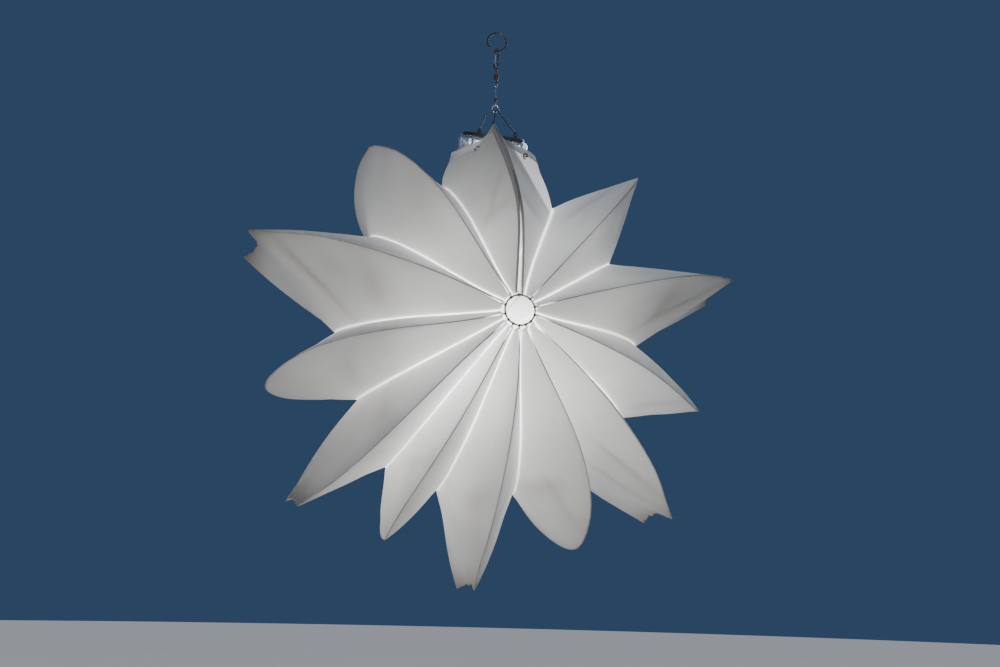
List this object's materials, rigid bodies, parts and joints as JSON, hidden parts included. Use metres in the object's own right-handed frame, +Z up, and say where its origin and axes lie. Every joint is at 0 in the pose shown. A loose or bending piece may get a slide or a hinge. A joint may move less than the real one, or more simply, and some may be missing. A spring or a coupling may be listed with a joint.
{
  "type": "hanging pleated star lantern",
  "caption": "Hanging star lantern of pleated white sheet fins round an open hub, with a clear solar light cap in a collar at the top and a swivel snap hanger.",
  "frame": {"origin": "where a hook bears: the inner top of the hanging ring", "axes": "+Z up along the hanging line, -Y out of the front hub along the star's axis, +X to the right when the front hub is seen"},
  "size_m": [0.4501, 0.2746, 0.5239],
  "materials": {
    "sheet": "matte spunbonded sheet",
    "closing_strip": "short pile",
    "dark_wire": "dark brown wire",
    "bright_wire": "bright wire",
    "steel": "plated",
    "clear_plastic": "clear moulded plastic",
    "dark_plastic": "satin",
    "white_plastic": "satin",
    "seal": "matte",
    "solar_glass": "glossy cell",
    "board": "varnished board",
    "lamp": "clear lamp",
    "battery_wrap": "printed wrap, no print"
  },
  "bodies": {
    "ring": {"hang_ring": "dark_wire"},
    "snap": {"snap_loop": "dark_wire", "swivel_barrel": "dark_wire"},
    "gate": {"snap_gate": "bright_wire"},
    "swivel": {"swivel_eye": "dark_wire"},
    "link": {"link_wire": "bright_wire", "crimp_sleeve": "dark_wire"},
    "lantern": {"fin_01_panel_a": "sheet", "fin_01_panel_b": "sheet", "fin_02_panel_a": "sheet", "fin_02_panel_b": "sheet", "fin_03_panel_a": "sheet", "fin_03_panel_b": "sheet", "fin_04_panel_a": "sheet", "fin_04_panel_b": "sheet", "fin_05_panel_a": "sheet", "fin_05_panel_b": "sheet", "fin_06_panel_a": "sheet", "fin_06_panel_b": "sheet", "fin_07_panel_a": "sheet", "fin_07_panel_b": "sheet", "fin_08_panel_a": "sheet", "fin_08_panel_b": "sheet", "fin_09_panel_a": "sheet", "fin_09_panel_b": "sheet", "fin_10_panel_a": "sheet", "fin_10_panel_b": "sheet", "fin_11_panel_a": "sheet", "fin_11_panel_b": "sheet", "fin_12_panel_a": "sheet", "fin_12_panel_b": "sheet", "seam_strip_left": "closing_strip", "seam_strip_right": "closing_strip", "front_hub_ring": "dark_wire", "rear_hub_ring": "dark_wire", "front_hub_ties": "dark_wire", "rear_hub_ties": "dark_wire", "collar_hooks": "dark_wire", "cap_housing": "clear_plastic", "cap_lid": "dark_plastic", "cap_gasket": "seal", "solar_cell": "solar_glass", "cap_base": "white_plastic", "cap_screws": "steel", "circuit_board": "board", "leds": "lamp", "battery": "battery_wrap", "battery_contacts": "steel", "switch_body": "steel", "left_leg": "dark_wire", "right_leg": "dark_wire", "rear_leg": "dark_wire", "apex_ring": "bright_wire"},
    "door": {"battery_door": "white_plastic"},
    "switch": {"switch_knob": "dark_plastic"}
  },
  "joints": [
    {"name": "snap_swing", "type": "hinge", "parent": "ring", "child": "snap", "pos_m": [0, 0, -0.0176], "axis": [1, 0, 0], "range_deg": [-50, 50]},
    {"name": "gate_swing", "type": "hinge", "parent": "snap", "child": "gate", "pos_m": [-0.00097, 0.00241, -0.0306], "axis": [0.9272, 0.3746, 0], "range_deg": [0, 18], "stiffness_Nm_per_rad": 0.001},
    {"name": "swivel_spin", "type": "hinge", "parent": "snap", "child": "swivel", "pos_m": [0, 0, -0.0468], "axis": [0, 0, 1], "continuous": true},
    {"name": "link_swing", "type": "hinge", "parent": "swivel", "child": "link", "pos_m": [0, 0, -0.0513], "axis": [0, 1, 0], "range_deg": [-35, 35]},
    {"name": "lantern_swing", "type": "hinge", "parent": "link", "child": "lantern", "pos_m": [0, 0, -0.0721], "axis": [1, 0, 0], "range_deg": [-35, 35]},
    {"name": "battery_door_hinge", "type": "hinge", "parent": "lantern", "child": "door", "pos_m": [-0.02473, 0.01845, -0.11977], "axis": [0, 0.9511, 0.309], "range_deg": [0, 95]},
    {"name": "switch_slide", "type": "slide", "parent": "lantern", "child": "switch", "axis": [0.9986, 0.0162, -0.0498], "range_m": [0, 0.0025]}
  ]
}
